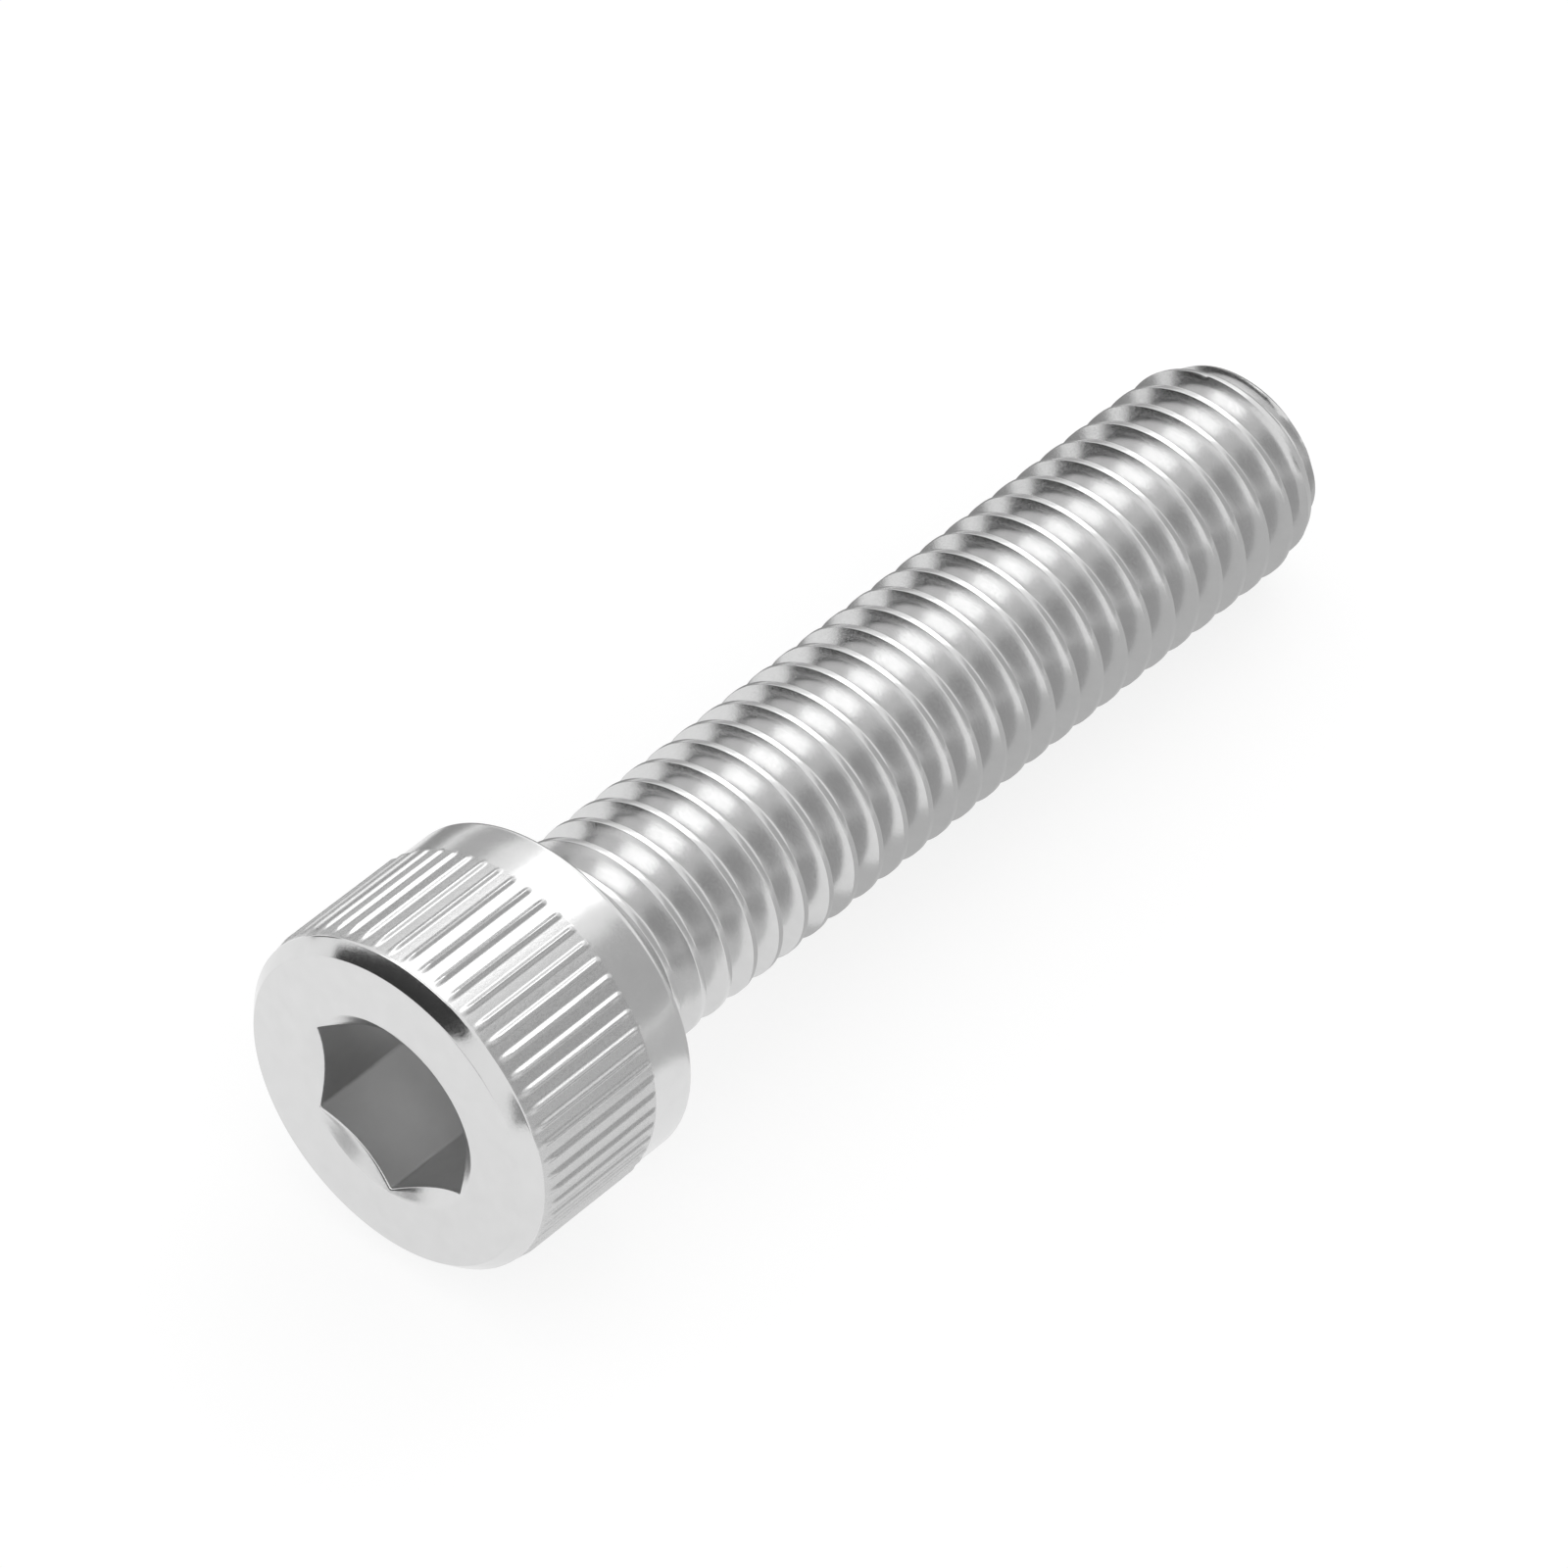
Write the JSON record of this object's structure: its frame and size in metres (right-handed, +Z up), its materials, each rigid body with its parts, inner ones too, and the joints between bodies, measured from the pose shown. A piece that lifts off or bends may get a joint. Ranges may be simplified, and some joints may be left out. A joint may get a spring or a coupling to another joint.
{
  "type": "socket head cap screw",
  "caption": "Cylindrical-headed machine screw with a knurled rim, a hexagon socket and a right-hand thread over its whole length.",
  "frame": {"origin": "middle of the underside of the bounding box, on the surface the screw lies on", "axes": "+X from the head to the tip, +Z up; the screw's own axis dips 3.9 degrees towards the tip, as it lies on its head rim and its last full thread turn"},
  "size_m": [0.0434, 0.0126, 0.0129],
  "materials": {
    "stainless_steel": "bright, cold-formed and tumbled, satin"
  },
  "bodies": {
    "root": {"cap_screw": "stainless_steel"}
  },
  "joints": []
}
